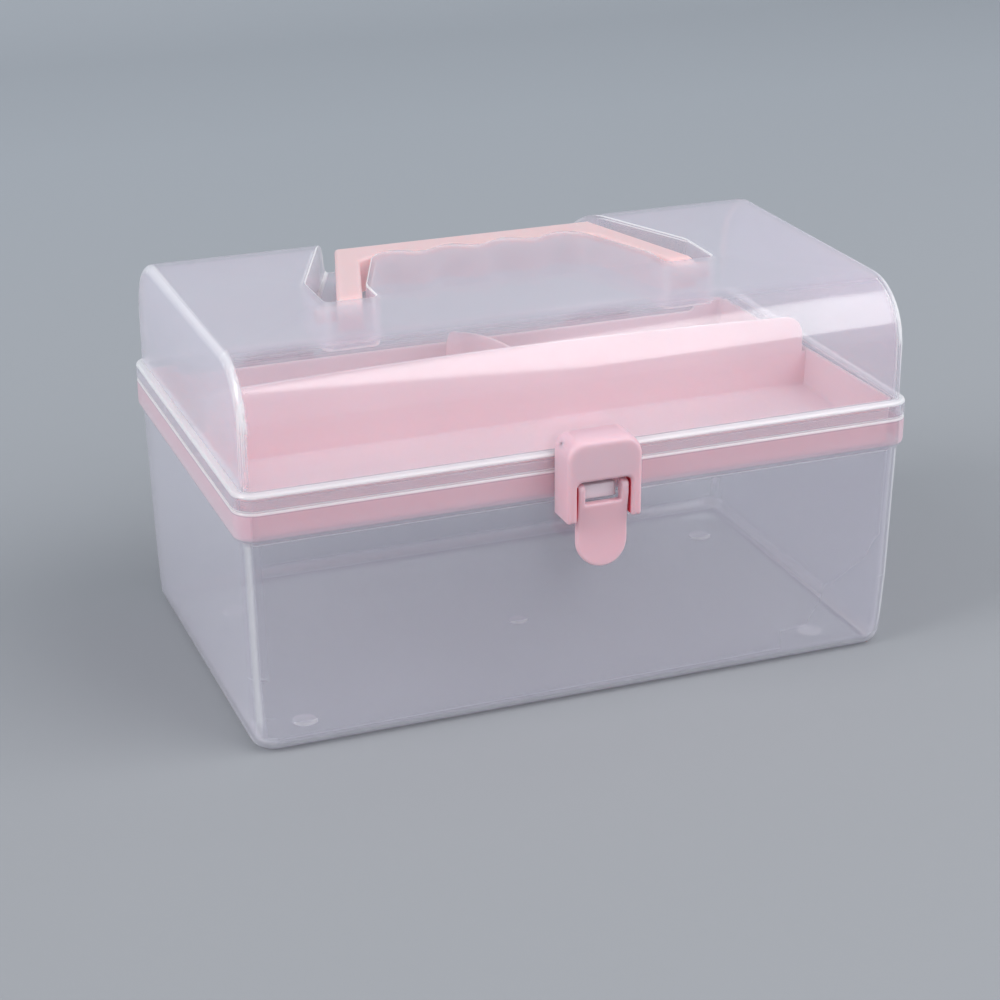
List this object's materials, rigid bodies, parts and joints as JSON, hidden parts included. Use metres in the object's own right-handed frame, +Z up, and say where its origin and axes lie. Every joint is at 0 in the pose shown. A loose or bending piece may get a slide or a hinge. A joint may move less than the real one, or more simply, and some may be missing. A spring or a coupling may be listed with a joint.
{
  "type": "makeup storage case with handle",
  "caption": "Clear plastic carrying case with a hinged domed lid, fold-flat handle in a top recess, hooded front latch and lift-out divided tray.",
  "frame": {"origin": "centre of the underside, on the surface the case rests on", "axes": "+X along the case, +Y towards the hinges at the back, +Z up; the latch faces -Y"},
  "size_m": [0.26, 0.1779, 0.1456],
  "materials": {
    "clear_plastic": "translucent, faintly lavender, semi-gloss",
    "pink_plastic": "pale pink, slightly translucent, satin",
    "pin_steel": "satin"
  },
  "bodies": {
    "case": {"base_box": "clear_plastic", "hinge_pin_left": "pin_steel", "hinge_pin_right": "pin_steel"},
    "lid": {"lid": "clear_plastic"},
    "tray": {"tray": "pink_plastic"},
    "handle": {"handle": "pink_plastic"},
    "latch_hood": {"latch_hood": "pink_plastic"},
    "latch_lever": {"latch_lever": "pink_plastic"}
  },
  "joints": [
    {"name": "lid_hinge", "type": "hinge", "parent": "case", "child": "lid", "pos_m": [0, 0.0827, 0.095], "axis": [-1, 0, 0], "range_deg": [0, 105]},
    {"name": "tray_lift", "type": "slide", "parent": "case", "child": "tray", "axis": [0, 0, 1], "range_m": [0, 0.008]},
    {"name": "handle_swing", "type": "hinge", "parent": "lid", "child": "handle", "pos_m": [0, -0.0065, 0.1381], "axis": [1, 0, 0], "range_deg": [0, 90]},
    {"name": "hood_swing", "type": "hinge", "parent": "lid", "child": "latch_hood", "pos_m": [0, -0.0825, 0.1053], "axis": [-1, 0, 0], "range_deg": [0, 90]},
    {"name": "lever_swing", "type": "hinge", "parent": "latch_hood", "child": "latch_lever", "pos_m": [0, -0.0885, 0.09], "axis": [-1, 0, 0], "range_deg": [0, 80]}
  ]
}
